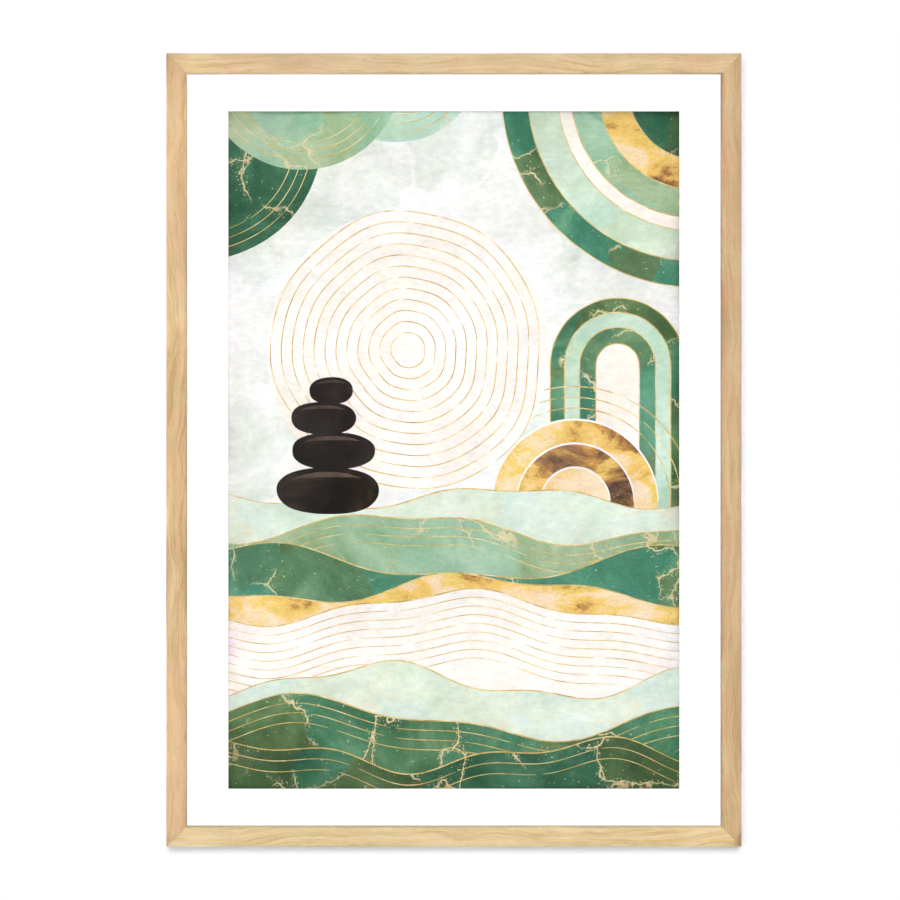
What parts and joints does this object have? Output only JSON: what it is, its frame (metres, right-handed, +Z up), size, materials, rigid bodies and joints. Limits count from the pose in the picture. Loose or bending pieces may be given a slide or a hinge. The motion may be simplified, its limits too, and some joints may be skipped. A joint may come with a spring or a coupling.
{
  "type": "framed art print",
  "caption": "Wall-hung art print in a mitred oak frame with acrylic glazing, a window mat, a backing board held by turn buttons, and a sawtooth hanger.",
  "frame": {"origin": "on the wall, behind the point where the nail bears on the hanger's middle notch", "axes": "+X to the right as the picture is looked at, +Y from the picture into the wall, +Z up"},
  "size_m": [0.527, 0.0215, 0.727],
  "materials": {
    "oak": "natural oak, satin",
    "acrylic": "clear polished acrylic",
    "mat_board": "matte white",
    "foam_board": "matte white",
    "print_paper": "matte printed paper in greens, cream and gold",
    "fibreboard": "smooth brown hardboard",
    "zinc_steel": "bright zinc plate",
    "rubber": "soft matte"
  },
  "bodies": {
    "frame": {"rail_top": "oak", "rail_right": "oak", "rail_bottom": "oak", "rail_left": "oak", "corner_wedge_top_left": "zinc_steel", "corner_wedge_top_right": "zinc_steel", "corner_wedge_bottom_left": "zinc_steel", "corner_wedge_bottom_right": "zinc_steel", "glazing": "acrylic", "mat": "mat_board", "spacer": "foam_board", "print_sheet": "print_paper", "backing_board": "fibreboard", "button_screw_top_left": "zinc_steel", "button_screw_top_right": "zinc_steel", "button_screw_right_upper": "zinc_steel", "button_screw_right_lower": "zinc_steel", "button_screw_bottom_left": "zinc_steel", "button_screw_bottom_right": "zinc_steel", "button_screw_left_upper": "zinc_steel", "button_screw_left_lower": "zinc_steel", "sawtooth_hanger": "zinc_steel", "hanger_nail_left": "zinc_steel", "hanger_nail_right": "zinc_steel", "bumper_left": "rubber", "bumper_right": "rubber"},
    "button_top_left": {"turn_button_top_left": "zinc_steel"},
    "button_top_right": {"turn_button_top_right": "zinc_steel"},
    "button_right_upper": {"turn_button_right_upper": "zinc_steel"},
    "button_right_lower": {"turn_button_right_lower": "zinc_steel"},
    "button_bottom_left": {"turn_button_bottom_left": "zinc_steel"},
    "button_bottom_right": {"turn_button_bottom_right": "zinc_steel"},
    "button_left_upper": {"turn_button_left_upper": "zinc_steel"},
    "button_left_lower": {"turn_button_left_lower": "zinc_steel"}
  },
  "joints": [
    {"name": "turn_top_left", "type": "hinge", "parent": "frame", "child": "button_top_left", "pos_m": [-0.125, -0.0027, 0.00305], "axis": [0, 1, 0], "range_deg": [-90, 90]},
    {"name": "turn_top_right", "type": "hinge", "parent": "frame", "child": "button_top_right", "pos_m": [0.125, -0.0027, 0.00305], "axis": [0, 1, 0], "range_deg": [-90, 90]},
    {"name": "turn_right_upper", "type": "hinge", "parent": "frame", "child": "button_right_upper", "pos_m": [0.25725, -0.0027, -0.1792], "axis": [0, 1, 0], "range_deg": [-90, 90]},
    {"name": "turn_right_lower", "type": "hinge", "parent": "frame", "child": "button_right_lower", "pos_m": [0.25725, -0.0027, -0.5292], "axis": [0, 1, 0], "range_deg": [-90, 90]},
    {"name": "turn_bottom_left", "type": "hinge", "parent": "frame", "child": "button_bottom_left", "pos_m": [-0.125, -0.0027, -0.71145], "axis": [0, 1, 0], "range_deg": [-90, 90]},
    {"name": "turn_bottom_right", "type": "hinge", "parent": "frame", "child": "button_bottom_right", "pos_m": [0.125, -0.0027, -0.71145], "axis": [0, 1, 0], "range_deg": [-90, 90]},
    {"name": "turn_left_upper", "type": "hinge", "parent": "frame", "child": "button_left_upper", "pos_m": [-0.25725, -0.0027, -0.1792], "axis": [0, 1, 0], "range_deg": [-90, 90]},
    {"name": "turn_left_lower", "type": "hinge", "parent": "frame", "child": "button_left_lower", "pos_m": [-0.25725, -0.0027, -0.5292], "axis": [0, 1, 0], "range_deg": [-90, 90]}
  ]
}
